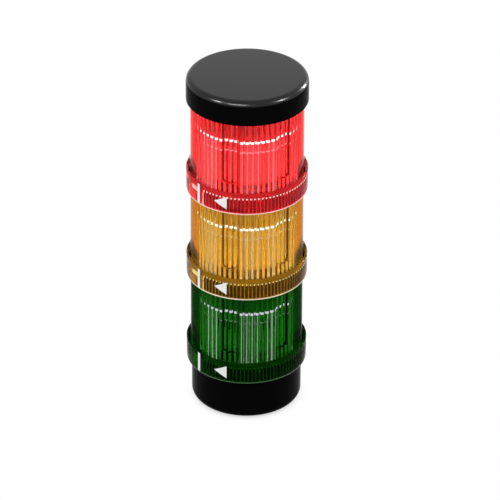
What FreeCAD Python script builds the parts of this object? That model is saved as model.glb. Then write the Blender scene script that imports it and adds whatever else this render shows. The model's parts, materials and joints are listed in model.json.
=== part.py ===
"""Stack light: a base, three lit modules that twist together, and a cap.

Frame: +Z up, origin at the middle of the base's underside, front towards -Y.
Every unit (module or cap) is drawn in its own frame, whose zero height is the
lower edge of a collar.  The neck of the unit below reaches into that collar.
"""
import FreeCAD, Part
import os
import Sketcher

from FreeCAD import Placement, Rotation, Vector

os.makedirs("parts", exist_ok=True)
doc = FreeCAD.newDocument("StackLight")

# ---------------------------------------------------------------- sizes
DRIVING = {
    # stacking heights
    "base_height": 26.0,            # floor to the first collar
    "module_pitch": 56.1,           # collar to collar
    "neck_height": 5.0,             # how far a unit reaches into the next collar
    "running_gap": 0.3,             # between units that turn on each other
    "weld": 0.1,                    # how far joined solids run into each other
    # collar
    "crevice": 1.3,                 # open ring between lens and collar
    "collar_wall": 1.2,
    "collar_height": 13.2,
    "collar_chamfer_rise": 0.9,
    "collar_chamfer_depth": 0.3,
    "collar_rim_chamfer": 0.25,
    "collar_ribs": 96,
    "collar_flute_radius": 0.9,
    "collar_flute_depth": 0.55,
    "collar_flute_bottom": 0.95,
    "collar_plain_rim": 3.0,        # smooth band above the ribs
    "plain_window_angle": 29.0,     # smooth patch behind the line mark
    "plain_window_turn": -165.0,
    # lens
    "lens_radius": 32.5,
    "lens_wall": 1.65,
    "lens_ribs": 60,
    "lens_rib_radius": 1.55,        # half-round ribs inside the wall
    "lens_ledge_width": 1.5,
    "lens_ledge_height": 1.4,
    "channel_width": 9.2,           # two raised strips down the lens, ribbed too
    "channel_step": 0.3,            # how far a strip stands past the lens ribs
    "channel_ribs": 3,
    "channel_foot": 16.7,
    "channel_round": 3.5,
    "channel_turn_left": -109.3,
    "channel_turn_right": -45.5,
    # twist coupling
    "lug_reach": 1.0,
    "lug_angle": 24.0,
    "lug_count": 3,
    "lug_turn": 0.0,
    "collar_lug_height": 2.0,
    "neck_lug_height": 1.8,
    "twist_angle": 25.0,
    "stop_angle": 3.0,
    "stop_play": 0.6,               # degrees left at each end of the twist
    "collar_ledge_height": 0.8,
    "collar_ledge_reach": 0.8,
    # carrier
    "carrier_thickness": 1.6,
    "fit": 0.05,
    "spigot_height": 3.0,
    "spigot_wall": 1.2,
    "spigot_play": 0.1,
    "carrier_hole_radius": 5.0,
    # seal between units
    "seal_width": 1.8,
    "seal_height": 1.1,
    # contacts
    "plate_thickness": 1.6,
    "plate_play": 0.1,
    "plate_hole_radius": 3.5,
    "track_count": 5,
    "track_margin": 8.75,           # from the last track's middle to the plate's edge
    "track_spacing": 3.0,
    "track_width": 1.6,
    "track_thickness": 0.2,
    "track_overlap": 8.0,           # degrees past the spring at each end
    "track_turn": 45.0,
    "spring_width": 1.0,
    "spring_length": 5.0,
    "spring_strip": 0.25,
    # light engine
    "board_thickness": 1.6,
    "board_margin": 0.4,            # between the board's edge and the riser
    "board_hole_radius": 4.0,
    "riser_thickness": 1.2,
    "riser_width": 9.0,
    "riser_turn": 90.0,
    "riser_clearance": 0.26,
    "tower_radius": 18.0,
    "tower_wall": 1.5,
    "tower_top": 31.0,
    "window_width": 11.2,
    "window_height": 8.0,
    "window_sill": 17.5,
    "window_count": 5,
    "emitter_depth": 2.2,
    "emitter_play": 0.1,
    "deflector_height": 6.0,
    "deflector_step": 0.6,          # the tower stands out by this much
    "deflector_round": 1.0,
    "deflector_rim": 3.5,
    "deflector_bowl_depth": 4.5,
    "deflector_spigot": 2.0,
    # base
    "base_inset": 0.5,              # the base is this much slimmer than the lens
    "base_wall": 2.5,
    "base_floor": 3.0,
    "base_bottom_round": 5.0,
    "cable_entry_radius": 9.0,
    "screw_margin": 1.2,            # wall between a screw hole and the gasket
    "screw_hole_radius": 2.2,
    "screw_boss_radius": 4.5,
    "screw_boss_height": 2.0,
    "screw_count": 4,
    "gasket_margin": 0.4,           # flat left between the foot's rounding and the gasket
    "gasket_width": 2.2,
    "gasket_thickness": 1.0,
    "terminal_length": 30.0,
    "terminal_depth": 12.0,
    "terminal_height": 11.0,
    "terminal_poles": 5,
    "terminal_pitch": 5.6,
    "terminal_wire_radius": 1.7,
    "terminal_wire_depth": 8.0,
    "terminal_screw_radius": 1.5,
    "terminal_screw_length": 4.0,
    "terminal_wire_height": 6.4,
    "terminal_slot_width": 0.5,
    "terminal_slot_depth": 0.7,
    # cap
    "cap_lift": 1.0,                # the skirt ends this far above a collar's edge
    "cap_height": 14.7,
    "cap_wall": 1.2,
    "cap_crown": 2.4,
    "cap_top_round": 3.8,
}

DERIVED = {
    "collar_bore": "lens_radius + crevice",
    "collar_radius": "collar_bore + collar_wall",
    "collar_edge_radius": "collar_radius - collar_chamfer_depth",
    "collar_rim_radius": "collar_radius - collar_rim_chamfer",
    "collar_rim_foot": "collar_height - collar_rim_chamfer",
    "collar_flute_reach": "collar_bore + collar_flute_depth",
    "collar_flute_centre": "collar_flute_reach - collar_flute_radius",
    "collar_flute_top": "collar_height - collar_plain_rim",
    "collar_flute_height": "collar_flute_top - collar_flute_bottom",
    "collar_lug_bottom": "collar_lug_top - collar_lug_height",
    "collar_lug_top": "neck_lug_bottom - running_gap",
    "collar_lug_radius": "collar_bore - lug_reach",
    "neck_lug_bottom": "neck_height - neck_lug_height",
    "neck_lug_radius": "collar_bore - running_gap",
    "lug_spacing": "360 / lug_count",
    "stop_height": "neck_height - collar_lug_bottom",
    "stop_turn_locked": "lug_angle + stop_play",
    "stop_turn_open": "0 - twist_angle - stop_play - stop_angle",
    "seal_bottom": "neck_height + running_gap",
    "carrier_bottom": "seal_bottom + seal_height",
    "carrier_top": "carrier_bottom + carrier_thickness",
    "carrier_radius": "collar_bore - fit",
    "collar_ledge_bottom": "carrier_bottom - collar_ledge_height",
    "collar_ledge_radius": "collar_bore - collar_ledge_reach",
    "lens_bore": "lens_radius - lens_wall",
    "lens_top": "module_pitch + neck_height",
    "plate_seat": "neck_height - plate_thickness",
    "lens_plate_seat": "module_pitch + plate_seat",
    "lens_ledge_bottom": "lens_plate_seat - lens_ledge_height",
    "lens_ledge_radius": "lens_bore - lens_ledge_width",
    "lens_rib_height": "lens_ledge_bottom - carrier_top + 0.5 * lens_ledge_height",
    "lens_crest": "lens_bore - lens_rib_radius",
    "channel_bore": "lens_crest - channel_step",
    "channel_height": "lens_ledge_bottom - channel_foot",
    "spigot_radius": "lens_crest - spigot_play",
    "spigot_bore": "spigot_radius - spigot_wall",
    "spigot_top": "carrier_top + spigot_height",
    "seal_radius": "lens_radius - 0.1 * seal_width",
    "seal_bore": "seal_radius - seal_width",
    "plate_radius": "lens_bore - plate_play",
    "track_first_radius": "plate_radius - track_margin - (track_count - 1) * track_spacing",
    "track_top": "neck_height + track_thickness",
    "spring_tip": "track_top + running_gap",
    "spring_drop": "carrier_bottom - spring_tip",
    "board_top": "carrier_top + board_thickness",
    "riser_height": "lens_plate_seat - carrier_top",
    "riser_corner": "spigot_bore - riser_clearance",
    "riser_face": "sqrt(riser_corner * riser_corner - 0.25 * riser_width * riser_width)",
    "riser_radius": "riser_face - 0.5 * riser_thickness",
    "board_radius": "riser_face - riser_thickness - board_margin",
    "tower_bore": "tower_radius - tower_wall",
    "tower_height": "tower_top - board_top",
    "deflector_top": "tower_top + deflector_height",
    "deflector_radius": "tower_radius - deflector_step",
    "deflector_bowl_radius": "deflector_radius - deflector_rim",
    "deflector_bowl_bottom": "deflector_top - deflector_bowl_depth",
    "deflector_spigot_radius": "tower_bore - fit",
    "deflector_spigot_foot": "tower_top - deflector_spigot",
    "emitter_width": "window_width - 2 * emitter_play",
    "emitter_height": "window_height - emitter_play",
    "emitter_radius": "tower_radius - 0.3 * tower_wall",
    "base_radius": "lens_radius - base_inset",
    "base_bore": "base_radius - base_wall",
    "base_neck_top": "base_height + neck_height",
    "base_plate_seat": "base_height + plate_seat",
    "boss_top": "base_floor + screw_boss_height",
    "gasket_outer_radius": "base_radius - base_bottom_round - gasket_margin",
    "gasket_bore": "gasket_outer_radius - gasket_width",
    "screw_circle_radius": "gasket_bore - screw_margin - screw_hole_radius",
    "terminal_bottom": "base_plate_seat - terminal_height",
    "terminal_half": "terminal_depth / 2",
    "cap_bore": "collar_bore",
    "cap_radius": "collar_bore + cap_wall",
    "cap_top": "cap_lift + cap_height",
    "cap_ceiling": "cap_top - cap_crown",
    "cap_hollow_radius": "seal_bore - fit",
    "cap_lug_height": "collar_lug_top - cap_lift",
    "cap_stop_height": "neck_height - cap_lift",
}

sheet = doc.addObject("Spreadsheet::Sheet", "Sizes")
for row, (name, number) in enumerate(DRIVING.items(), start=1):
    sheet.set(f"A{row}", name)
    sheet.set(f"B{row}", str(number))
    sheet.setAlias(f"B{row}", name)
for row, (name, formula) in enumerate(DERIVED.items(), start=len(DRIVING) + 2):
    sheet.set(f"A{row}", name)
    sheet.setAlias(f"B{row}", name)
    sheet.set(f"B{row}", f"={formula}")
doc.recompute()


def size(name):
    """The number behind a size's name; a leading minus turns it round."""
    if name == "0":
        return 0.0
    if name.startswith("-"):
        return -float(sheet.get(name[1:]))
    return float(sheet.get(name))


def bind(feature, **formulas):
    """Ties properties of a feature to sizes in the sheet."""
    for name, formula in formulas.items():
        feature.setExpression(name.replace("__", "."), formula)


# ---------------------------------------------------------------- primitives
def origin_feature(body, role):
    return next(f for f in body.Origin.OriginFeatures if f.Role == role)


def pin(sketch, point, direction, name):
    """Holds one coordinate of a sketch's corner at a size from the sheet."""
    if name == "0":
        axis = {"X": -2, "Y": -1}[direction]
        sketch.addConstraint(Sketcher.Constraint("PointOnObject", point, 1, axis))
        return
    ends = (point, 1, -1, 1) if name.startswith("-") else (-1, 1, point, 1)
    constraint = Sketcher.Constraint("Distance" + direction, *ends, abs(size(name)))
    index = sketch.addConstraint(constraint)
    sketch.setExpression(f"Constraints[{index}]", "Sizes." + name.lstrip("-"))


def outline(body, name, plane, corners):
    """A closed sketch of straight lines, each corner given by two size names."""
    sketch = body.newObject("Sketcher::SketchObject", name)
    sketch.AttachmentSupport = [(origin_feature(body, plane), "")]
    sketch.MapMode = "FlatFace"
    points = [Vector(size(across), size(up), 0) for across, up in corners]
    count = len(points)
    for i in range(count):
        sketch.addGeometry(Part.LineSegment(points[i], points[(i + 1) % count]))
    for i in range(count):
        sketch.addConstraint(Sketcher.Constraint("Coincident", i, 2, (i + 1) % count, 1))
    for i, (across, up) in enumerate(corners):
        pin(sketch, i, "X", across)
        pin(sketch, i, "Y", up)
    return sketch


def turned(label, corners):
    """A body turned about the vertical axis from a half section."""
    body = doc.addObject("PartDesign::Body", label)
    body.Label = label
    section = outline(body, label + "_section", "XZ_Plane", corners)
    turn = body.newObject("PartDesign::Revolution", label + "_turn")
    turn.Profile = section
    turn.ReferenceAxis = (section, ["V_Axis"])
    turn.Angle = 360
    body.Tip = turn
    doc.recompute()
    return body


def patterned(body, kind, centre, radius, foot, height, count):
    """Repeats an upright round rib (Pad) or flute (Pocket) round the inner wall."""
    before = body.Shape.Volume
    section = body.newObject("Sketcher::SketchObject", body.Label + "_round_section")
    section.AttachmentSupport = [(origin_feature(body, "XY_Plane"), "")]
    section.MapMode = "FlatFace"
    bind(section, AttachmentOffset__Base__z="Sizes." + foot)
    section.addGeometry(Part.Circle(Vector(size(centre), 0, 0), Vector(0, 0, 1), size(radius)))
    section.addConstraint(Sketcher.Constraint("PointOnObject", 0, 3, -1))
    pinned = {
        centre: Sketcher.Constraint("DistanceX", -1, 1, 0, 3, size(centre)),
        radius: Sketcher.Constraint("Radius", 0, size(radius)),
    }
    for name, constraint in pinned.items():
        index = section.addConstraint(constraint)
        section.setExpression(f"Constraints[{index}]", "Sizes." + name)
    form = body.newObject("PartDesign::" + kind, body.Label + "_round")
    form.Profile = section
    form.Reversed = kind == "Pocket"
    bind(form, Length="Sizes." + height)
    row = body.newObject("PartDesign::PolarPattern", body.Label + "_rounds")
    row.Originals = [form]
    row.Axis = (origin_feature(body, "Z_Axis"), [""])
    row.Angle = 360
    bind(row, Occurrences="Sizes." + count)
    body.Tip = row
    doc.recompute()
    changed = body.Shape.Volume - before
    assert (changed > 0) == (kind == "Pad"), body.Label + ": the pattern did nothing"
    return body


def rounded_edge(body, radius, height, amount):
    """Rounds the circular edge of a turned body at a given radius and height."""
    solid = body.Tip
    edges = [
        f"Edge{i}" for i, edge in enumerate(solid.Shape.Edges, start=1)
        if edge.BoundBox.ZLength < 1e-6
        and abs(edge.BoundBox.ZMax - size(height)) < 1e-6
        and abs(edge.BoundBox.XMax - size(radius)) < 1e-4
    ]
    fillet = body.newObject("PartDesign::Fillet", body.Label + "_round")
    fillet.Base = (solid, edges)
    bind(fillet, Radius="Sizes." + amount)
    body.Tip = fillet
    doc.recompute()
    return body


def cylinder(label, radius, height, foot="0", angle=None, turn=None):
    """An upright cylinder, or a wedge of one that starts at a turn about Z."""
    solid = doc.addObject("Part::Cylinder", label)
    bind(solid, Radius=radius, Height=height, Placement__Base__z=foot)
    if angle:
        solid.Placement.Rotation = Rotation(Vector(0, 0, 1), 10)
        bind(solid, Angle=angle, Placement__Rotation__Angle=turn)
    return solid


def ring(label, outer, inner, height, foot="0", angle=None, turn=None):
    """A plain ring, or an arc of one."""
    result = doc.addObject("Part::Cut", label)
    result.Base = cylinder(label + "_outer", outer, height, foot, angle, turn)
    result.Tool = cylinder(label + "_inner", inner, height, foot)
    return result


def box(label, length, width, height, x="0", y="0", z="0"):
    solid = doc.addObject("Part::Box", label)
    bind(solid, Length=length, Width=width, Height=height)
    bind(solid, Placement__Base__x=x, Placement__Base__y=y, Placement__Base__z=z)
    return solid


def placed(feature, turn, radius="0", side="0"):
    """Turns a feature about Z; radius and side shift it first along and across."""
    seat = doc.addObject("Part::Compound", feature.Name + "_placed")
    seat.Links = [feature]
    seat.Placement.Rotation = Rotation(Vector(0, 0, 1), 10)
    bind(seat, Placement__Rotation__Angle=turn)
    bind(seat, Placement__Base__x=f"({radius}) * cos({turn}) - ({side}) * sin({turn})")
    bind(seat, Placement__Base__y=f"({radius}) * sin({turn}) + ({side}) * cos({turn})")
    return seat


def joined(kind, label, features):
    result = doc.addObject("Part::" + kind, label)
    if kind == "Cut":
        result.Base, result.Tool = features
    elif kind == "Compound":
        result.Links = features
    else:
        result.Shapes = features
    result.Label = label
    return result


NODES = {}


def node(label, feature, lift="0"):
    """Gives a finished piece its own name and its height in the stack."""
    piece = doc.addObject("App::Link", label)
    piece.Label = label
    piece.LinkedObject = feature
    piece.LinkTransform = True
    bind(piece, Placement__Base__z=lift)
    NODES[label] = piece


# ---------------------------------------------------------------- coupling
def coupling_arcs(label, lug_foot, lug_height, stop_height):
    """Inward lugs of a collar or cap with a stop at each end of the twist."""
    wall = "Sizes.collar_bore + Sizes.weld"
    arcs = []
    for i in range(int(size("lug_count"))):
        start = f"Sizes.lug_turn + {i} * Sizes.lug_spacing"
        reach = "Sizes.collar_lug_radius"
        lug = ring(f"{label}_lug_{i}", wall, reach, lug_height, lug_foot, "Sizes.lug_angle", start)
        arcs.append(lug)
        for end, turn in (("locked", "stop_turn_locked"), ("open", "stop_turn_open")):
            stop = ring(f"{label}_stop_{end}_{i}", wall, reach, stop_height, lug_foot,
                        "Sizes.stop_angle", f"{start} + Sizes.{turn}")
            arcs.append(stop)
    return arcs


def neck_lugs(label, neck_radius, level):
    """Outward lugs of a neck, which the collar above hooks under."""
    foot = f"{level} + Sizes.neck_lug_bottom"
    return [
        ring(f"{label}_lug_{i}", "Sizes.neck_lug_radius", f"{neck_radius} - Sizes.weld",
             "Sizes.neck_lug_height", foot, "Sizes.lug_angle",
             f"Sizes.lug_turn + {i} * Sizes.lug_spacing")
        for i in range(int(size("lug_count")))
    ]


# ---------------------------------------------------------------- module
def collar():
    """Clear coloured sleeve: ribs inside, a plain window and the twist lugs."""
    sleeve = turned("collar_sleeve", [
        ("collar_bore", "0"),
        ("collar_edge_radius", "0"),
        ("collar_radius", "collar_chamfer_rise"),
        ("collar_radius", "collar_rim_foot"),
        ("collar_rim_radius", "collar_height"),
        ("collar_bore", "collar_height"),
    ])
    patterned(sleeve, "Pocket", "collar_flute_centre", "collar_flute_radius",
              "collar_flute_bottom", "collar_flute_height", "collar_ribs")
    window = ring("collar_window", "Sizes.collar_flute_reach + Sizes.weld", "Sizes.collar_bore",
                  "Sizes.collar_flute_height", "Sizes.collar_flute_bottom",
                  "Sizes.plain_window_angle", "Sizes.plain_window_turn")
    ledge = ring("collar_ledge", "Sizes.collar_bore + Sizes.weld", "Sizes.collar_ledge_radius",
                 "Sizes.collar_ledge_height", "Sizes.collar_ledge_bottom")
    arcs = coupling_arcs("collar", "Sizes.collar_lug_bottom", "Sizes.collar_lug_height",
                         "Sizes.stop_height")
    return joined("MultiFuse", "collar", [sleeve, window, ledge] + arcs)


def lens():
    """Clear coloured tube: ribs and two flat channels inside, neck on top."""
    tube = turned("lens_tube", [
        ("lens_bore", "carrier_top"),
        ("lens_radius", "carrier_top"),
        ("lens_radius", "lens_top"),
        ("lens_bore", "lens_top"),
        ("lens_bore", "lens_plate_seat"),
        ("lens_ledge_radius", "lens_plate_seat"),
        ("lens_ledge_radius", "lens_ledge_bottom"),
        ("lens_bore", "lens_ledge_bottom"),
    ])
    patterned(tube, "Pad", "lens_bore", "lens_rib_radius", "carrier_top",
              "lens_rib_height", "lens_ribs")
    channels = [channel(side) for side in ("left", "right")]
    lugs = neck_lugs("lens", "Sizes.lens_radius", "Sizes.module_pitch")
    return joined("MultiFuse", "lens", [tube] + channels + lugs)


def channel(side):
    """A ribbed strip down the lens that stands past its ribs and ends in a U."""
    turn = f"Sizes.channel_turn_{side}"
    height = "Sizes.channel_height + 2 * Sizes.weld"
    foot = "Sizes.channel_foot - Sizes.weld"
    wall = ring(f"channel_{side}_wall", "Sizes.lens_bore + 0.5 * Sizes.weld",
                "Sizes.channel_bore", height, foot)
    ribs = []
    for i in range(int(size("channel_ribs"))):
        rib = cylinder(f"channel_{side}_rib_{i}", "Sizes.lens_rib_radius", height, foot)
        step = f"({i} - 0.5 * (Sizes.channel_ribs - 1)) * 360 / Sizes.lens_ribs"
        ribs.append(placed(rib, f"{turn} + {step}", "Sizes.channel_bore"))
    ribbed = joined("MultiFuse", f"channel_{side}_ribbed", [wall] + ribs)
    strip = box(f"channel_{side}_strip", "5 * Sizes.lens_rib_radius", "Sizes.channel_width",
                "2 * Sizes.channel_height", "0 - 4 * Sizes.lens_rib_radius",
                "0 - 0.5 * Sizes.channel_width", "Sizes.channel_foot")
    doc.recompute()
    rounded = doc.addObject("Part::Fillet", f"channel_{side}_rounded")
    rounded.Base = strip
    corners = [
        i for i, edge in enumerate(strip.Shape.Edges, start=1)
        if edge.BoundBox.XLength > 1e-3 and edge.BoundBox.ZMax < size("channel_foot") + 1e-3
    ]
    rounded.Edges = [(i, size("channel_round"), size("channel_round")) for i in corners]
    seat = placed(rounded, turn, "Sizes.lens_bore")
    return joined("MultiCommon", f"channel_{side}", [ribbed, seat])


def carrier():
    """Black floor of a module: a disc in the collar and a spigot in the lens."""
    return turned("carrier", [
        ("carrier_hole_radius", "carrier_bottom"),
        ("carrier_radius", "carrier_bottom"),
        ("carrier_radius", "carrier_top"),
        ("spigot_radius", "carrier_top"),
        ("spigot_radius", "spigot_top"),
        ("spigot_bore", "spigot_top"),
        ("spigot_bore", "carrier_top"),
        ("carrier_hole_radius", "carrier_top"),
    ])


def seal():
    """Flat rubber ring under a carrier or a cap."""
    return ring("seal", "Sizes.seal_radius", "Sizes.seal_bore", "Sizes.seal_height",
                "Sizes.seal_bottom")


def contact_springs():
    """Bent strips under the carrier, one over each track."""
    strips = []
    for i in range(int(size("track_count"))):
        radius = f"Sizes.track_first_radius + {i} * Sizes.track_spacing"
        half = "0 - 0.5 * Sizes.spring_width"
        foot = box(f"spring_foot_{i}", "Sizes.spring_width", "0.4 * Sizes.spring_length",
                   "Sizes.spring_strip", half, "0.1 * Sizes.spring_length",
                   "Sizes.carrier_bottom - Sizes.spring_strip")
        tip = box(f"spring_tip_{i}", "Sizes.spring_width", "0.4 * Sizes.spring_length",
                  "Sizes.spring_strip", half, "0 - 0.5 * Sizes.spring_length",
                  "Sizes.spring_tip")
        web = box(f"spring_web_{i}", "Sizes.spring_width", "Sizes.spring_strip",
                  "Sizes.spring_drop", half, "0 - 0.1 * Sizes.spring_length", "Sizes.spring_tip")
        bridge = box(f"spring_bridge_{i}", "Sizes.spring_width", "0.2 * Sizes.spring_length",
                     "Sizes.spring_strip", half, "0 - 0.1 * Sizes.spring_length",
                     "Sizes.carrier_bottom - Sizes.spring_strip")
        strip = joined("MultiFuse", f"spring_{i}", [foot, bridge, web, tip])
        strips.append(placed(strip, "Sizes.track_turn", radius))
    return joined("Compound", "contact_springs", strips)


def contact_plate():
    """Black disc on the neck's ledge that closes a module's top."""
    return cylinder("contact_plate", "Sizes.plate_radius", "Sizes.plate_thickness",
                    "Sizes.plate_seat")


def contact_tracks():
    """Arcs that the springs above stay over through the whole twist."""
    arcs = [
        ring(f"track_{i}",
             f"Sizes.track_first_radius + {i} * Sizes.track_spacing + 0.5 * Sizes.track_width",
             f"Sizes.track_first_radius + {i} * Sizes.track_spacing - 0.5 * Sizes.track_width",
             "Sizes.track_thickness", "Sizes.neck_height",
             "Sizes.twist_angle + 3 * Sizes.track_overlap",
             "Sizes.track_turn - 2 * Sizes.track_overlap")
        for i in range(int(size("track_count")))
    ]
    return joined("Compound", "contact_tracks", arcs)


def led_board():
    return ring("led_board", "Sizes.board_radius", "Sizes.board_hole_radius",
                "Sizes.board_thickness", "Sizes.carrier_top")


def riser_board():
    """Upright strip at the back: it takes the wiring to the next unit."""
    strip = box("riser_strip", "Sizes.riser_thickness", "Sizes.riser_width",
                "Sizes.riser_height", "0 - 0.5 * Sizes.riser_thickness",
                "0 - 0.5 * Sizes.riser_width", "Sizes.carrier_top")
    return placed(strip, "Sizes.riser_turn", "Sizes.riser_radius")


def window_turn(i):
    return f"-90 + ({i} + 0.5) * 360 / Sizes.window_count"


def led_tower():
    """Pale tube on the board with a row of windows for the emitters."""
    tube = ring("tower_tube", "Sizes.tower_radius", "Sizes.tower_bore", "Sizes.tower_height",
                "Sizes.board_top")
    windows = []
    for i in range(int(size("window_count"))):
        hole = box(f"window_{i}", "6 * Sizes.tower_wall", "Sizes.window_width",
                   "Sizes.window_height", "0 - 4 * Sizes.tower_wall",
                   "0 - 0.5 * Sizes.window_width", "Sizes.window_sill")
        windows.append(placed(hole, window_turn(i), "Sizes.tower_radius"))
    holes = joined("Compound", "tower_windows", windows)
    return joined("Cut", "led_tower", [tube, holes])


def emitters():
    """Tinted blocks that stand on the sills of the tower's windows."""
    blocks = []
    for i in range(int(size("window_count"))):
        block = box(f"emitter_{i}", "Sizes.emitter_depth", "Sizes.emitter_width",
                    "Sizes.emitter_height", "0 - 2 * Sizes.emitter_depth",
                    "0 - 0.5 * Sizes.emitter_width", "Sizes.window_sill")
        blocks.append(placed(block, window_turn(i), "Sizes.emitter_radius"))
    return joined("Compound", "emitters", blocks)


def deflector():
    """Light guide on the tower, with a shallow bowl that throws the light out."""
    drum = turned("deflector", [
        ("0", "deflector_spigot_foot"),
        ("deflector_spigot_radius", "deflector_spigot_foot"),
        ("deflector_spigot_radius", "tower_top"),
        ("deflector_radius", "tower_top"),
        ("deflector_radius", "deflector_top"),
        ("deflector_bowl_radius", "deflector_top"),
        ("0", "deflector_bowl_bottom"),
    ])
    return rounded_edge(drum, "deflector_radius", "deflector_top", "deflector_round")


# ---------------------------------------------------------------- base
def base_housing():
    """Turned cup with a rounded foot, a ledge for the plate, bosses and lugs."""
    cup = turned("base_cup", [
        ("cable_entry_radius", "0"),
        ("gasket_bore", "0"),
        ("gasket_bore", "gasket_thickness"),
        ("gasket_outer_radius", "gasket_thickness"),
        ("gasket_outer_radius", "0"),
        ("base_radius", "0"),
        ("base_radius", "base_neck_top"),
        ("lens_bore", "base_neck_top"),
        ("lens_bore", "base_plate_seat"),
        ("base_bore", "base_plate_seat"),
        ("base_bore", "base_floor"),
        ("cable_entry_radius", "base_floor"),
    ])
    rounded_edge(cup, "base_radius", "0", "base_bottom_round")
    lugs = neck_lugs("base", "Sizes.base_radius", "Sizes.base_height")
    turns = [f"{i} * 360 / Sizes.screw_count" for i in range(int(size("screw_count")))]
    bosses = []
    holes = []
    for i, turn in enumerate(turns):
        boss = cylinder(f"boss_{i}", "Sizes.screw_boss_radius", "Sizes.screw_boss_height + Sizes.weld",
                        "Sizes.base_floor - Sizes.weld")
        hole = cylinder(f"screw_hole_{i}", "Sizes.screw_hole_radius", "2 * Sizes.boss_top",
                        "0 - 0.5 * Sizes.boss_top")
        bosses.append(placed(boss, turn, "Sizes.screw_circle_radius"))
        holes.append(placed(hole, turn, "Sizes.screw_circle_radius"))
    body = joined("MultiFuse", "base_body", [cup] + lugs + bosses)
    return joined("Cut", "base_housing", [body, joined("Compound", "screw_holes", holes)])


def base_gasket():
    return ring("base_gasket", "Sizes.gasket_outer_radius - Sizes.fit",
                "Sizes.gasket_bore + Sizes.fit", "Sizes.gasket_thickness")


def base_contact_plate():
    """Contact plate with a driver hole over each panel screw."""
    plate = cylinder("base_plate_disc", "Sizes.plate_radius", "Sizes.plate_thickness",
                     "Sizes.plate_seat")
    holes = []
    for i in range(int(size("screw_count"))):
        hole = cylinder(f"driver_hole_{i}", "Sizes.plate_hole_radius",
                        "3 * Sizes.plate_thickness", "Sizes.plate_seat - Sizes.plate_thickness")
        turn = f"{i} * 360 / Sizes.screw_count"
        holes.append(placed(hole, turn, "Sizes.screw_circle_radius"))
    return joined("Cut", "base_contact_disc", [plate, joined("Compound", "driver_holes", holes)])


def pole(i):
    """Where a pole of the terminal block lies across the block."""
    return f"({i} - 0.5 * (Sizes.terminal_poles - 1)) * Sizes.terminal_pitch"


def terminal_block():
    """Block under the contact plate: wires enter in front, screws from below."""
    block = box("terminal_body", "Sizes.terminal_length", "Sizes.terminal_depth",
                "Sizes.terminal_height", "0 - 0.5 * Sizes.terminal_length",
                "0 - Sizes.terminal_half", "Sizes.terminal_bottom")
    holes = []
    for i in range(int(size("terminal_poles"))):
        wire = doc.addObject("Part::Cylinder", f"wire_hole_{i}")
        wire.Placement.Rotation = Rotation(Vector(1, 0, 0), 90)
        bind(wire, Radius="Sizes.terminal_wire_radius", Height="2 * Sizes.terminal_wire_depth",
             Placement__Base__x=pole(i),
             Placement__Base__y="Sizes.terminal_wire_depth - Sizes.terminal_half",
             Placement__Base__z="Sizes.terminal_bottom + Sizes.terminal_wire_height")
        well = cylinder(f"screw_well_{i}", "Sizes.terminal_screw_radius + Sizes.fit",
                        "Sizes.terminal_screw_length + Sizes.weld",
                        "Sizes.terminal_bottom - Sizes.weld")
        bind(well, Placement__Base__x=pole(i))
        holes += [wire, well]
    return joined("Cut", "terminal_block", [block, joined("Compound", "terminal_holes", holes)])


def terminal_screws():
    """Slotted screws, flush with the block's underside."""
    screws = []
    for i in range(int(size("terminal_poles"))):
        shank = cylinder(f"screw_shank_{i}", "Sizes.terminal_screw_radius",
                         "Sizes.terminal_screw_length", "Sizes.terminal_bottom")
        bind(shank, Placement__Base__x=pole(i))
        slot = box(f"screw_slot_{i}", "4 * Sizes.terminal_screw_radius",
                   "Sizes.terminal_slot_width", "2 * Sizes.terminal_slot_depth",
                   f"{pole(i)} - 2 * Sizes.terminal_screw_radius",
                   "0 - 0.5 * Sizes.terminal_slot_width",
                   "Sizes.terminal_bottom - Sizes.terminal_slot_depth")
        screws.append(joined("Cut", f"terminal_screw_{i}", [shank, slot]))
    return joined("Compound", "terminal_screws", screws)


# ---------------------------------------------------------------- cap
def cap():
    """Hollow lid with a softly rounded crown; it twists on like a collar."""
    shell = turned("cap_shell", [
        ("cap_bore", "cap_lift"),
        ("cap_radius", "cap_lift"),
        ("cap_radius", "cap_top"),
        ("0", "cap_top"),
        ("0", "cap_ceiling"),
        ("cap_hollow_radius", "cap_ceiling"),
        ("cap_hollow_radius", "carrier_bottom"),
        ("cap_bore", "carrier_bottom"),
    ])
    rounded_edge(shell, "cap_radius", "cap_top", "cap_top_round")
    arcs = coupling_arcs("cap", "Sizes.cap_lift", "Sizes.cap_lug_height",
                         "Sizes.cap_stop_height")
    return joined("MultiFuse", "cap_body", [shell] + arcs)


# ---------------------------------------------------------------- stack
def stack():
    """One set of module pieces, repeated at each storey, between base and cap."""
    top_plate = contact_plate()
    top_tracks = contact_tracks()
    for label, feature in (
        ("base_housing", base_housing()),
        ("base_gasket", base_gasket()),
        ("terminal_block", terminal_block()),
        ("terminal_screws", terminal_screws()),
    ):
        node(label, feature)
    node("base_contact_plate", base_contact_plate(), "Sizes.base_height")
    node("base_contact_tracks", top_tracks, "Sizes.base_height")
    module = {
        "collar": collar(),
        "lens": lens(),
        "carrier": carrier(),
        "seal": seal(),
        "contact_springs": contact_springs(),
        "led_board": led_board(),
        "riser_board": riser_board(),
        "led_tower": led_tower(),
        "emitters": emitters(),
        "deflector": deflector(),
    }
    for storey, colour in enumerate(("green", "amber", "red")):
        level = f"Sizes.base_height + {storey} * Sizes.module_pitch"
        for piece, feature in module.items():
            node(f"{colour}_{piece}", feature, level)
        node(f"{colour}_contact_plate", top_plate, f"{level} + Sizes.module_pitch")
        node(f"{colour}_contact_tracks", top_tracks, f"{level} + Sizes.module_pitch")
    node("cap", cap(), "Sizes.base_height + 3 * Sizes.module_pitch")
    node("cap_seal", module["seal"], "Sizes.base_height + 3 * Sizes.module_pitch")


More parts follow.
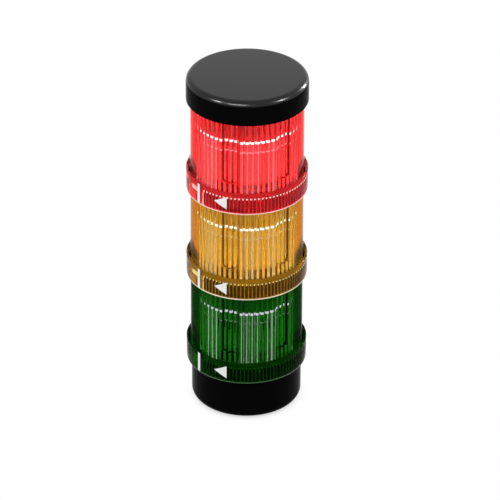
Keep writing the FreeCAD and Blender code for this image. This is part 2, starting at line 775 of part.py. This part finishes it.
def check():
    """Stops before anything is written if a feature or a piece is not sound."""
    doc.recompute()
    for feature in doc.Objects:
        failed = [state for state in feature.State if state in ("Invalid", "Error")]
        if failed:
            raise RuntimeError(f"{feature.Name}: {failed}")
    for label, piece in NODES.items():
        shape = Part.getShape(piece)
        if shape.isNull() or not shape.isValid() or not shape.Solids:
            raise RuntimeError(f"{label}: no sound solid")


stack()
check()
for label, piece in NODES.items():
    shape = Part.getShape(piece)
    shape.exportStep(f"parts/{label}.step")
    print(f"{label:24s} {len(shape.Solids)} solids {shape.Volume:12.2f} mm3")
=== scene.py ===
import json
import math

import bmesh
import bpy
from mathutils import Matrix, Vector

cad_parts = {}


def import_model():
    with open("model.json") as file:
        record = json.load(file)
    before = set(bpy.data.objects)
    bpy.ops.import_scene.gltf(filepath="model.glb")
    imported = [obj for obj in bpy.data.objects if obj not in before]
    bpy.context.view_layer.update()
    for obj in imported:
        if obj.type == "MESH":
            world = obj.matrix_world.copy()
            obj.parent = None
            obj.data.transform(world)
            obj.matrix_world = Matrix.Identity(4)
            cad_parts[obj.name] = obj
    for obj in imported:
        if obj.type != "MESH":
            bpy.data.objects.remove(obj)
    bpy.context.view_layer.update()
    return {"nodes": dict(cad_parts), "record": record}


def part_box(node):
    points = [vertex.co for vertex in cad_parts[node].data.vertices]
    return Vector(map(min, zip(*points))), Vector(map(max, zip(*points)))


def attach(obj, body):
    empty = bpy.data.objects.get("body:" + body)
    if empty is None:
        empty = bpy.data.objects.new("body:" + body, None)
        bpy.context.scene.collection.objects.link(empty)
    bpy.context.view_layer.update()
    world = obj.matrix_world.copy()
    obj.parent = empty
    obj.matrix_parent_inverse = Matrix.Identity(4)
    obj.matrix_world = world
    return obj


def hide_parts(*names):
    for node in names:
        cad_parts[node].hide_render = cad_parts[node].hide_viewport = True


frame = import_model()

COLOURS = ("green", "amber", "red")


# ---------------------------------------------------------------- shader maths
class Value:
    """A number, colour or vector that travels between shader nodes."""

    def __init__(self, finish, socket):
        self.finish = finish
        self.socket = socket

    def maths(self, operation, *others):
        return self.finish.node("Math", {"operation": operation}, self, *others)

    def __add__(self, other):
        return self.maths("ADD", other)

    def __radd__(self, other):
        return self.maths("ADD", other)

    def __rmul__(self, other):
        return self.maths("MULTIPLY", other)

    def clamped(self):
        return self.finish.node("Clamp", {}, self)


class Finish:
    """A material, or the world, with one method that makes its nodes."""

    def __init__(self, owner):
        self.owner = owner
        self.owner.use_nodes = True
        self.tree = self.owner.node_tree
        self.tree.nodes.clear()

    def node(self, kind, settings, *inputs, out=0, **named):
        made = self.tree.nodes.new("ShaderNode" + kind)
        for name, setting in settings.items():
            setattr(made, name, setting)
        for place, given in list(enumerate(inputs)) + list(named.items()):
            key = place if isinstance(place, int) else place.replace("_", " ")
            self.feed(made.inputs[key], given)
        return Value(self, made.outputs[out]) if made.outputs else made

    def feed(self, socket, given):
        if isinstance(given, Value):
            self.tree.links.new(given.socket, socket)
        else:
            socket.default_value = given

    def output(self, shader, kind="OutputMaterial"):
        self.node(kind, {}, shader)
        return self.owner


def new_finish(name):
    return Finish(bpy.data.materials.new(name))


def rgb(red, green, blue):
    """A display colour, 0 to 255, as the linear colour that the shader takes."""
    def linear(value):
        value /= 255
        return value / 12.92 if value <= 0.04045 else ((value + 0.055) / 1.055) ** 2.4
    return (linear(red), linear(green), linear(blue), 1.0)


# ---------------------------------------------------------------- finishes
def grained(finish, scale):
    """Fine mottling of a moulded or coated surface, about 0.5 in the mean."""
    place = finish.node("TexCoord", {}, out="Object")
    return finish.node("TexNoise", {}, Vector=place, Scale=scale, Detail=3.0)


def satin_black(name, colour, grain, gloss):
    """Black moulded plastic with a fine texture."""
    finish = new_finish(name)
    texture = grained(finish, grain)
    bump = finish.node("Bump", {}, Strength=0.05, Distance=0.0001, Height=texture)
    shader = finish.node("BsdfPrincipled", {}, Base_Color=colour, Roughness=0.17 + 0.1 * texture,
                         Specular_IOR_Level=gloss, Normal=bump)
    return finish.output(shader)


def clear_coloured(name, tint, ior=1.45):
    """Clear plastic that colours the light at each face it passes."""
    finish = new_finish(name)
    texture = grained(finish, 400.0)
    shader = finish.node("BsdfPrincipled", {}, Base_Color=tint, Roughness=0.02 * texture,
                         Transmission_Weight=1.0, IOR=ior)
    return finish.output(shader)


def pale_glow(name, colour, roughness, glow):
    """Pale plastic that glows with painted light of its own, for painted highlights and for what
    has to stay light behind coloured plastic.
    """
    finish = new_finish(name)
    texture = grained(finish, 900.0)
    shader = finish.node("BsdfPrincipled", {}, Base_Color=colour,
                         Roughness=roughness + 0.1 * texture, Emission_Color=colour,
                         Emission_Strength=glow)
    return finish.output(shader)


def shiny_opal(name, colour):
    """Milky plastic with a high polish."""
    finish = new_finish(name)
    texture = grained(finish, 300.0)
    shader = finish.node("BsdfPrincipled", {}, Base_Color=colour, Roughness=0.05 + 0.04 * texture,
                         IOR=2.0)
    return finish.output(shader)


def plain(name, colour, roughness, metallic=0.0, gloss=0.5):
    """A coloured or metal surface that lets no light through."""
    finish = new_finish(name)
    texture = grained(finish, 900.0)
    shader = finish.node("BsdfPrincipled", {}, Base_Color=colour, Metallic=metallic,
                         Roughness=roughness + 0.1 * texture, Specular_IOR_Level=gloss)
    return finish.output(shader)


FINISHES = {
    # the plain parts
    "black_plastic": satin_black("satin black plastic", rgb(7, 7, 8), 1500.0, 0.006),
    "cap_top": satin_black("polished black cap top", rgb(6, 6, 7), 1500.0, 0.35),
    # the white plastic glows a little: painted light that lightens the inside of the modules
    "white_plastic": pale_glow("white plastic", rgb(225, 225, 222), 0.3, 0.4),
    "clear_plastic": shiny_opal("opal plastic", rgb(200, 200, 198)),
    "grey_plastic": plain("grey plastic", rgb(120, 122, 124), 0.4),
    # the white board glows a little too: painted light
    "white_board": pale_glow("white board", rgb(215, 216, 210), 0.4, 0.4),
    "contact_metal": plain("contact brass", rgb(205, 170, 100), 0.25, 1.0),
    "steel": plain("plated steel", rgb(190, 190, 192), 0.3, 1.0),
    "rubber": plain("black rubber", rgb(22, 22, 22), 0.6),
    "mark_paint": plain("mark paint", rgb(250, 250, 250), 0.5),
    # the clear plastics, and the outer skin of a lens
    "red_plastic": clear_coloured("clear red plastic", (1.0, 0.30, 0.31, 1)),
    "amber_plastic": clear_coloured("clear amber plastic", (0.95, 0.75, 0.30, 1)),
    "green_plastic": clear_coloured("clear green plastic", (0.10, 0.50, 0.08, 1)),
    "red_skin": clear_coloured("polished red plastic", (1.0, 0.036, 0.039, 1), 1.08),
    "amber_skin": clear_coloured("polished amber plastic", (0.63, 0.29, 0.020, 1), 1.05),
    "green_skin": clear_coloured("polished green plastic", (0.001, 0.065, 0.0005, 1), 1.02),
    "red_sleeve": clear_coloured("red sleeve plastic", (1.0, 0.025, 0.03, 1), 1.1),
    "amber_sleeve": clear_coloured("amber sleeve plastic", (0.6, 0.25, 0.008, 1), 1.1),
    "green_sleeve": clear_coloured("green sleeve plastic", (0.006, 0.12, 0.002, 1), 1.05),
    # inside the modules: the ceilings and the red and amber emitters glow with painted light that
    # lightens the inside
    "red_ceiling": pale_glow("red module ceiling", rgb(130, 130, 130), 0.5, 0.1),
    "amber_ceiling": pale_glow("amber module ceiling", rgb(215, 215, 215), 0.5, 0.6),
    "green_ceiling": pale_glow("green module ceiling", rgb(110, 110, 110), 0.5, 0.1),
    "red_emitter": pale_glow("red emitter", rgb(215, 205, 205), 0.2, 0.3),
    "amber_emitter": pale_glow("amber emitter", rgb(215, 210, 200), 0.2, 0.3),
    "green_emitter": plain("green emitter", rgb(10, 30, 8), 0.2),
    # the inner face of a lens: painted highlights in rows and streaks, painted shade along the
    # channels
    # painted highlights: two glowing rows across the ends of the ribs
    "red_bright_row": pale_glow("red bright row", (0.5, 1.0, 1.0, 1), 0.2, 7.0),
    "amber_bright_row": pale_glow("amber bright row", (0.17, 0.30, 1.0, 1), 0.2, 8.0),
    "green_bright_row": pale_glow("green bright row", (0.65, 0.08, 1.0, 1), 0.2, 32.0),
    "red_faint_row": pale_glow("red faint row", (0.5, 1.0, 1.0, 1), 0.2, 2.0),
    "amber_faint_row": pale_glow("amber faint row", (0.3, 0.4, 1.0, 1), 0.2, 2.0),
    "green_faint_row": pale_glow("green faint row", (0.65, 0.12, 1.0, 1), 0.2, 6.0),
    # painted reflections: pale upright streaks that glow on the ribs
    "red_streak": pale_glow("red streak", (0.5, 1.0, 1.0, 1), 0.2, 1.7),
    "amber_streak": pale_glow("amber streak", (0.28, 0.38, 1.0, 1), 0.2, 2.2),
    "green_streak": pale_glow("green streak", (0.7, 0.13, 1.0, 1), 0.2, 20.0),
    # painted shade: dark sides and feet of the channels
    "red_channel_edge": plain("red channel edge", (0.35, 0.02, 0.02, 1), 0.3),
    "amber_channel_edge": plain("amber channel edge", (0.22, 0.12, 0.02, 1), 0.3),
    "green_channel_edge": plain("green channel edge", (0.01, 0.03, 0.01, 1), 0.3),
    # the inner face of a collar, with painted light and shade in stripes and painted highlights,
    # and the painted highlight along its foot
    # opaque greys seen through the sleeve: lighter ribs and rim, darker flutes, painted light and
    # shade
    "red_rib": plain("red sleeve rib", (0.75, 0.75, 0.75, 1), 0.6, gloss=0.0),
    "amber_rib": plain("amber sleeve rib", (0.5, 0.5, 0.5, 1), 0.6, gloss=0.0),
    "green_rib": plain("green sleeve rib", (0.3, 0.3, 0.3, 1), 0.6, gloss=0.0),
    "red_flute": plain("red sleeve flute", (0.25, 0.25, 0.25, 1), 0.6, gloss=0.0),
    "amber_flute": plain("amber sleeve flute", (0.08, 0.08, 0.08, 1), 0.6, gloss=0.0),
    "green_flute": plain("green sleeve flute", (0.03, 0.03, 0.03, 1), 0.6, gloss=0.0),
    "red_rim": plain("red sleeve rim", (0.45, 0.45, 0.45, 1), 0.6, gloss=0.0),
    "amber_rim": plain("amber sleeve rim", (0.35, 0.35, 0.35, 1), 0.6, gloss=0.0),
    "green_rim": plain("green sleeve rim", (0.15, 0.15, 0.15, 1), 0.6, gloss=0.0),
    # painted highlights: glowing dots at the flute tops; the green ones are a plain lighter grey
    "red_glint": pale_glow("red sleeve glint", (0.25, 1.0, 0.85, 1), 0.2, 6.0),
    "amber_glint": pale_glow("amber sleeve glint", (0.35, 0.5, 1.0, 1), 0.2, 2.8),
    "green_glint": plain("green sleeve glint", (0.5, 0.5, 0.5, 1), 0.3),
    # painted reflections: a lighter patch and a thin line; the green ones are a plain grey
    "red_pad": pale_glow("red sleeve pad", (0.3, 1.0, 0.85, 1), 0.2, 3.0),
    "amber_pad": pale_glow("amber sleeve pad", (0.35, 0.5, 1.0, 1), 0.2, 2.2),
    "green_pad": plain("green sleeve pad", (0.3, 0.3, 0.3, 1), 0.3),
    # painted highlight: a glowing pale edge along the foot of the red and amber collars; the green
    # one is plain green
    "red_edge": pale_glow("highlit red edge", rgb(252, 225, 225), 0.3, 0.35),
    "amber_edge": pale_glow("highlit amber edge", rgb(252, 243, 222), 0.3, 0.35),
    "green_edge": plain("green sleeve edge", (0.01, 0.12, 0.004, 1), 0.3),
}


# ---------------------------------------------------------------- faces to finish
MERGE = 2e-6                # points nearer than this become one
CREASE = math.radians(28)   # an edge bent more than this stays sharp
CUT_REACH = 1e-7            # points nearer to a cut than this lie on it
HAIR = 0.00005              # how far a face may lie from a wall and still count as on it
SLIVER = 0.0001             # the same, for the level faces at a part's foot and top
SQUARELY = 0.9              # a face that looks one way at least this much counts as facing it

NECK = 0.005                # the part of a lens that stands in the next collar
LENS_BORE = 0.03085
LENS_CREST = LENS_BORE - 0.0009         # the inner ends of the ribs lie within this
LENS_SKIN = LENS_BORE + 0.0014          # the outer face lies beyond this
RIB_END = -0.88             # how squarely the end of a rib faces the axis
CHANNEL_REACH = LENS_BORE - 0.0002      # the raised faces of a channel lie within this
CHANNEL_TURNS = (math.radians(-19.3), math.radians(44.5))       # from the front
CHANNEL_SPAN = 0.2          # half a channel and a little more, in radians
CHANNEL_HALF = 0.0046
CHANNEL_FOOT = -0.2         # a face of a channel that looks down more than this is its foot
CHANNEL_SHADE_LINE = 0.0006       # the painted shade line along each side of a channel
# where the painted reflection streaks are, in degrees from the front
STREAK_TURNS = ((-80, -34), (-9, 14), (24, 34), (55, 80), (100, 150), (180, 215), (240, 260))
STREAK_LEAN = (0.08, 0.3)   # the strip of a rib beside its crest
STREAKS_ON_ONE_SIDE = 20    # within this turn of the front, in degrees
HIGHLIGHT_ROWS = ((0.0172, 0.0014), (0.0238, 0.0006))     # painted highlight rows: from the top of a lens down, and height

SPIGOT_HEIGHT = 0.0029      # below the top of a carrier
BOARD_SEAT_DEPTH = 0.006    # the floor inside the spigot lies above this depth
SPIGOT_BORE = 0.0285
TOP_LEAN = 0.3              # a face of the cap that looks up more than this is polished

COLLAR_WALL = 0.0012
PLAIN_RIM = 0.003           # smooth band of a collar above its flutes
FLUTE_DEPTH = 0.00055
FLUTE_FOOT = 0.0008         # plain band below the flutes
FLUTE_LEAN = -0.1           # the faces of a flute look inwards more than this
FLUTE_GLINT = 0.0009        # painted highlight at the top end of a flute
REFLECTION_PATCH_TURNS = (-66.0, -56.0)  # a painted reflection, a lighter patch inside a collar, in degrees from the front
REFLECTION_LINE = -47.0            # a thin painted reflection line beside it
REFLECTION_LINE_HALF = 0.8         # half the line's width, in degrees
FOOT_HIGHLIGHT = 0.00065      # the painted highlight along the foot of a collar, its height and depth
FOOT_HIGHLIGHT_DEPTH = 0.0006

# the places of a piece's own finish and of the extra ones: a single one, a lens's, a collar's
OWN, EXTRA = 0, 1
SHADED_NECK, HIGHLIGHT_ROW, FAINT_HIGHLIGHT_ROW, SKIN, PALE_FOOT, SHADED_CHANNEL_EDGE, REFLECTION_STREAK = range(1, 8)
LIT_RIB, SHADED_FLUTE, GLINT, LIT_EDGE, RIM, REFLECTION_PATCH = range(1, 7)


def merged(node):
    """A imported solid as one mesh, with its curves smooth and its edges sharp."""
    shape = bmesh.new()
    shape.from_mesh(frame["nodes"][node].data)
    bmesh.ops.remove_doubles(shape, verts=shape.verts, dist=MERGE)
    for face in shape.faces:
        face.smooth = True
        face.material_index = OWN
    for edge in shape.edges:
        edge.smooth = edge.calc_face_angle(math.pi) < CREASE
    return shape


def split_at(shape, height):
    """Cuts the faces along a level line, and takes nothing away."""
    bmesh.ops.bisect_plane(shape, geom=shape.verts[:] + shape.edges[:] + shape.faces[:],
                           dist=CUT_REACH, plane_co=(0, 0, height), plane_no=(0, 0, 1))


def radial(face):
    """How far a face looks outwards (1) or inwards (-1) from the column's axis."""
    middle = face.calc_center_median()
    return (middle.x * face.normal.x + middle.y * face.normal.y) / middle.xy.length


def turn_of(point):
    """Where a point lies round the column, from the front, in radians."""
    return math.atan2(point.x, -point.y)


def on_shaded_channel_edge(face):
    """Whether a face is a side or the foot of one of the raised channels, which carry painted
    shade.
    """
    middle = face.calc_center_median()
    if middle.xy.length > CHANNEL_REACH:
        return False
    for turn in CHANNEL_TURNS:
        off = turn_of(middle) - turn
        if abs(off) > CHANNEL_SPAN:
            continue
        across = abs(middle.xy.length * math.sin(off))
        sideways = abs(face.normal.x * math.cos(turn) + face.normal.y * math.sin(turn))
        if across > CHANNEL_HALF - HAIR and sideways > SQUARELY:
            return True
        if CHANNEL_HALF - CHANNEL_SHADE_LINE < across < CHANNEL_HALF and (
                middle.xy.length < LENS_CREST):
            return True
        if face.normal.z < CHANNEL_FOOT:
            return True
    return False


def reflection_streaked(face):
    """Whether this strip of a rib, beside its crest, carries a painted reflection: a pale upright
    streak.
    """
    middle = face.calc_center_median()
    turn = math.degrees(turn_of(middle))
    aside = (middle.x * face.normal.y - middle.y * face.normal.x) / middle.xy.length
    if abs(turn) > STREAKS_ON_ONE_SIDE:
        aside = abs(aside)
    return STREAK_LEAN[0] < aside < STREAK_LEAN[1] and any(
        start <= turn + full <= end for start, end in STREAK_TURNS for full in (0, 360))


def finish_lens(shape, node):
    """Painted shade on the neck and the channel sides, painted highlights in two rows and streaks
    on the ribs, a clear skin.
    """
    low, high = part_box(node)
    level = high.z - NECK
    split_at(shape, level)
    highlight_bands = []
    for below, height in HIGHLIGHT_ROWS:
        top = high.z - below
        split_at(shape, top)
        split_at(shape, top - height)
        highlight_bands.append((top - height, top))
    for face in shape.faces:
        middle = face.calc_center_median()
        # painted shade: the clear neck that stands in the next collar is made black
        if middle.z > level:
            face.material_index = SHADED_NECK
        # painted shade on the sides and foot of a channel
        elif on_shaded_channel_edge(face):
            face.material_index = SHADED_CHANNEL_EDGE
        elif middle.xy.length < LENS_CREST and radial(face) < RIB_END:
            # painted highlights in two rows across the rib ends
            for row, (foot, top) in zip((HIGHLIGHT_ROW, FAINT_HIGHLIGHT_ROW), highlight_bands):
                if foot < middle.z < top:
                    face.material_index = row
            # painted reflection: a glowing upright streak beside a rib's crest
            if face.material_index == OWN and middle.z < highlight_bands[0][0] and reflection_streaked(face):
                face.material_index = REFLECTION_STREAK
        elif middle.xy.length > LENS_SKIN and radial(face) > SQUARELY:
            face.material_index = SKIN
        # the level face at the foot takes the glowing white plastic: painted light
        elif middle.z < low.z + SLIVER:
            face.material_index = PALE_FOOT
    colour = node.split("_")[0]
    return ["black_plastic", colour + "_bright_row", colour + "_faint_row", colour + "_skin",
            "white_plastic", colour + "_channel_edge", colour + "_streak"]


def finish_carrier(shape, node):
    """The spigot and the floor inside it are as pale as the board they hold, and glow with the
    same painted light.
    """
    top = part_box(node)[1].z
    for face in shape.faces:
        middle = face.calc_center_median()
        # painted light: these faces take the glowing white plastic
        if middle.z > top - SPIGOT_HEIGHT or (
                middle.z > top - BOARD_SEAT_DEPTH and middle.xy.length < SPIGOT_BORE):
            face.material_index = EXTRA
    return ["white_plastic"]


def finish_cap(shape, node):
    """The top of the cap and its rounded edge are glossier than its sides."""
    for face in shape.faces:
        if face.normal.z > TOP_LEAN:
            face.material_index = EXTRA
    return ["cap_top"]


def finish_plate(shape, node):
    """The underside of a contact plate is pale, to throw the light back, and glows with painted
    light.
    """
    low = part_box(node)[0]
    for face in shape.faces:
        if face.calc_center_median().z < low.z + SLIVER:
            face.material_index = EXTRA
    return [node.split("_")[0] + "_ceiling"]


def finish_collar(shape, node):
    """Painted light and shade in stripes on the fluted inner wall, painted highlights as dots at
    the flute tops and as a patch and a line, a painted highlight along the foot.
    """
    colour = node.split("_")[0]
    low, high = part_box(node)
    bore = high.x - COLLAR_WALL
    flute_top = high.z - PLAIN_RIM
    glint_foot = flute_top - FLUTE_GLINT
    half_way = 0.5 * (low.z + high.z)
    for height in (low.z + FOOT_HIGHLIGHT, glint_foot, half_way):
        split_at(shape, height)
    for face in shape.faces:
        middle = face.calc_center_median()
        reach = middle.xy.length
        in_flute = bore < reach < bore + FLUTE_DEPTH + HAIR and (
            low.z + FLUTE_FOOT < middle.z < flute_top + SLIVER) and (
            radial(face) < FLUTE_LEAN or abs(face.normal.z) > SQUARELY)
        # painted highlight along the foot of the collar
        if middle.z < low.z + FOOT_HIGHLIGHT and reach > high.x - FOOT_HIGHLIGHT_DEPTH:
            face.material_index = LIT_EDGE
        # painted light on the ribs and on the rim above the flutes
        elif reach < bore + HAIR and low.z + SLIVER < middle.z < high.z - SLIVER:
            face.material_index = RIM if middle.z > flute_top else LIT_RIB
        # painted shade in a flute, with a painted highlight at its top end
        elif in_flute:
            lit = middle.z > glint_foot and radial(face) < -SQUARELY
            face.material_index = GLINT if lit else SHADED_FLUTE
        # painted reflection: a lighter patch and a thin line over the stripes
        turn = math.degrees(turn_of(middle))
        on_reflection_patch = REFLECTION_PATCH_TURNS[0] < turn < REFLECTION_PATCH_TURNS[1] and middle.z > half_way
        on_reflection_line = abs(turn - REFLECTION_LINE) < REFLECTION_LINE_HALF and middle.z < flute_top
        if face.material_index in (LIT_RIB, SHADED_FLUTE, GLINT) and (on_reflection_patch or on_reflection_line):
            face.material_index = REFLECTION_PATCH
    return [colour + "_rib", colour + "_flute", colour + "_glint", colour + "_edge",
            colour + "_rim", colour + "_pad"]


TOUCHES = {"cap": finish_cap}
for colour in COLOURS:
    TOUCHES[colour + "_lens"] = finish_lens
    TOUCHES[colour + "_collar"] = finish_collar
    TOUCHES[colour + "_carrier"] = finish_carrier
    TOUCHES[colour + "_contact_plate"] = finish_plate


def dressed(node, slot, body):
    """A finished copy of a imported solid, in its place and riding on its body.

    A collar's own finish is its sleeve plastic, and every other piece has its slot's.
    """
    shape = merged(node)
    finishes = [node.replace("collar", "sleeve") if node.endswith("_collar") else slot]
    if node in TOUCHES:
        finishes += TOUCHES[node](shape, node)
    mesh = bpy.data.meshes.new("visible_" + node)
    shape.to_mesh(mesh)
    shape.free()
    for finish in finishes:
        mesh.materials.append(FINISHES[finish])
    piece = bpy.data.objects.new("visible_" + node, mesh)
    bpy.context.scene.collection.objects.link(piece)
    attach(piece, body)
    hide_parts(node)


SLOTS = {part["node"]: part["material_slot"] for part in frame["record"]["subparts"]}
for body, nodes in frame["record"]["behaviour"]["bodies"].items():
    for node in nodes:
        dressed(node, SLOTS[node], body)


# ---------------------------------------------------------------- marks
MARK_THICKNESS = 0.00005
MARK_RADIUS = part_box("red_collar")[1].x + MARK_THICKNESS
LINE_TURN = math.radians(-51.7)
LINE_WIDTH = 0.0021
LINE_FOOT = 0.0009          # from the foot of a collar to the line
LINE_HEAD = 0.00025         # from the line to the top of the collar
ARROW_TIP = math.radians(-32.3)
ARROW_BACK = math.radians(-19.1)
ARROW_HEIGHT = 0.0080
MARK_STEPS = 8              # flat pieces that a curved mark is made of


def around(turn, radius, height):
    """A point at a turn from the front, seen from above, at a radius and height."""
    return Vector((radius * math.sin(turn), -radius * math.cos(turn), height))


def printed_patch(start, end, low, high):
    """A thin curved patch on a collar: an upright edge spun round the column."""
    shape = bmesh.new()
    foot = shape.verts.new(around(start, MARK_RADIUS, low))
    head = shape.verts.new(around(start, MARK_RADIUS, high))
    edge = shape.edges.new((foot, head))
    bmesh.ops.spin(shape, geom=[foot, head, edge], cent=(0, 0, 0), axis=(0, 0, 1),
                   angle=end - start, steps=MARK_STEPS, use_merge=False)
    return shape


def finished_mark(shape, name, body):
    """A mark as a piece of its own, riding on its module."""
    bmesh.ops.recalc_face_normals(shape, faces=shape.faces)
    mesh = bpy.data.meshes.new(name)
    shape.to_mesh(mesh)
    shape.free()
    mesh.materials.append(FINISHES["mark_paint"])
    piece = bpy.data.objects.new(name, mesh)
    bpy.context.scene.collection.objects.link(piece)
    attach(piece, body)


def lock_marks(colour):
    """An upright line and an arrow that points the way the module is turned to lock."""
    low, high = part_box(colour + "_collar")
    half = 0.5 * LINE_WIDTH / MARK_RADIUS
    line = printed_patch(LINE_TURN - half, LINE_TURN + half,
                         low.z + LINE_FOOT, high.z - LINE_HEAD)
    finished_mark(line, colour + "_line_mark", colour + "_module")
    middle = 0.5 * (low.z + high.z)
    arrow = printed_patch(ARROW_TIP, ARROW_BACK, middle - 0.5 * ARROW_HEIGHT,
                          middle + 0.5 * ARROW_HEIGHT)
    tip = around(ARROW_TIP, MARK_RADIUS, middle)
    outward = around(0.5 * (ARROW_TIP + ARROW_BACK), 1.0, 0.0)
    for side in (-1, 1):
        corner = around(ARROW_BACK, MARK_RADIUS, middle + 0.5 * side * ARROW_HEIGHT)
        across = (corner - tip).cross(outward)
        if across.z * side < 0:
            across.negate()
        bmesh.ops.bisect_plane(arrow, geom=arrow.verts[:] + arrow.edges[:] + arrow.faces[:],
                               plane_co=tip, plane_no=across, clear_outer=True)
    finished_mark(arrow, colour + "_arrow_mark", colour + "_module")


for colour in COLOURS:
    lock_marks(colour)


# ---------------------------------------------------------------- stage
CONTACT_SHADE = 0.55        # the floor's tone right under the foot
CONTACT_REACH = 0.03        # how far round the foot the floor is shaded
OPEN_FLOOR = 1.6            # brings the open floor up to full white
FLOOR_SIZE = 20.0
ROOM_LIGHT = 0.12           # how bright the room is as a source of light


def looked_at(finish):
    """1 for a look straight, mirrored or through clear plastic, 0 for light on a surface."""
    seen, mirrored, through = (finish.node("LightPath", {}, out="Is %s Ray" % kind)
                               for kind in ("Camera", "Glossy", "Transmission"))
    return (seen + mirrored + through).clamped()


def floor():
    """Grey to the lamps, white to the eye, with a soft shade round the foot."""
    shape = bmesh.new()
    bmesh.ops.create_grid(shape, x_segments=1, y_segments=1, size=FLOOR_SIZE)
    mesh = bpy.data.meshes.new("floor")
    shape.to_mesh(mesh)
    shape.free()
    piece = bpy.data.objects.new("floor", mesh)
    bpy.context.scene.collection.objects.link(piece)
    finish = new_finish("pale floor")
    open_sky = finish.node("AmbientOcclusion", {"samples": 16}, Distance=CONTACT_REACH, out="AO")
    shade = (CONTACT_SHADE + (1.0 - CONTACT_SHADE) * OPEN_FLOOR * open_sky).clamped()
    pale = finish.node("BsdfPrincipled", {}, Base_Color=rgb(128, 128, 128), Roughness=0.9,
                       Specular_IOR_Level=0.0)
    white = finish.node("Emission", {}, Color=shade, Strength=1.0)
    shader = finish.node("MixShader", {}, looked_at(finish), pale, white)
    mesh.materials.append(finish.output(shader))


def lamp(name, place, target, size, power):
    """A rectangular lamp at a place, turned to its target."""
    light = bpy.data.lights.new(name, "AREA")
    light.shape = "RECTANGLE"
    light.size, light.size_y = size
    light.energy = power
    piece = bpy.data.objects.new(name, light)
    piece.location = place
    piece.rotation_euler = (Vector(target) - Vector(place)).to_track_quat("-Z", "Y").to_euler()
    bpy.context.scene.collection.objects.link(piece)


def world():
    """A dim room for light, and a white one to look at and to be mirrored."""
    room = Finish(bpy.data.worlds.new("white room"))
    dim = room.node("Background", {}, Strength=ROOM_LIGHT)
    white = room.node("Background", {})
    shader = room.node("MixShader", {}, looked_at(room), dim, white)
    bpy.context.scene.world = room.output(shader, "OutputWorld")


def camera():
    """A long lens about thirty degrees above level."""
    lens = bpy.data.cameras.new("camera")
    lens.sensor_width = 36.0
    lens.lens = 307.4
    lens.clip_end = 50.0
    piece = bpy.data.objects.new("camera", lens)
    down = math.radians(29.83)
    aim = Vector((0.00186, 0.0, 0.0954))
    reach = 2.4727
    piece.location = aim + reach * Vector((0.0, -math.cos(down), math.sin(down)))
    roll = math.radians(0.246)
    piece.rotation_euler = (
        Matrix.Rotation(math.pi / 2 - down, 4, "X") @ Matrix.Rotation(roll, 4, "Z")).to_euler()
    bpy.context.scene.collection.objects.link(piece)
    bpy.context.scene.camera = piece


floor()
world()
camera()
lamp("back softbox", (0.0, 1.7, 1.15), (0.0, 0.0, 0.2), (1.8, 0.9), 1.0)
lamp("front strip", (-0.6, -1.6, 1.6), (0.0, 0.0, 0.1), (1.1, 0.35), 28.5)
lamp("left softbox", (-1.1, -0.6, 1.1), (0.0, 0.0, 0.1), (0.22, 0.22), 10.0)
lamp("right softbox", (1.2, -0.4, 1.1), (0.0, 0.0, 0.1), (0.25, 0.25), 14.0)
lamp("rim softbox", (1.4, 1.1, 0.6), (0.0, 0.0, 0.15), (0.2, 0.7), 20.0)

bpy.context.scene.view_settings.view_transform = "Standard"
